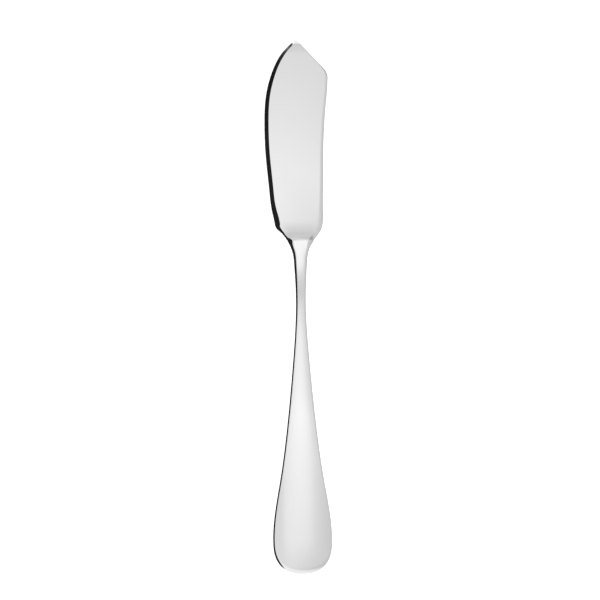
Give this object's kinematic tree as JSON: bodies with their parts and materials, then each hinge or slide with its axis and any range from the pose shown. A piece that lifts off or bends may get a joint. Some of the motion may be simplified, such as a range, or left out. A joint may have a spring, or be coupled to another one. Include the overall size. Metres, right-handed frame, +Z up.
{
  "type": "fish knife",
  "caption": "Polished steel fish knife with a broad blunt blade, curved bevelled edge and angled tip, a ridge at the neck and a slender hollow handle widening to a round butt.",
  "frame": {"origin": "middle of the underside of the whole knife's box, on the surface that it lies on", "axes": "+Y along the knife towards the tip, +Z up out of its front, +X to the back of the blade, away from the bevelled edge"},
  "size_m": [0.0248, 0.205, 0.0054],
  "materials": {
    "blade_steel": "mirror polished",
    "handle_steel": "mirror polished",
    "solder": "polished flush, silver-white",
    "cement": "cast, matt"
  },
  "bodies": {
    "root": {"blade": "blade_steel", "handle_front_shell": "handle_steel", "handle_back_shell": "handle_steel", "seam_solder": "solder", "mouth_solder": "solder", "tang_cement": "cement"}
  },
  "joints": []
}
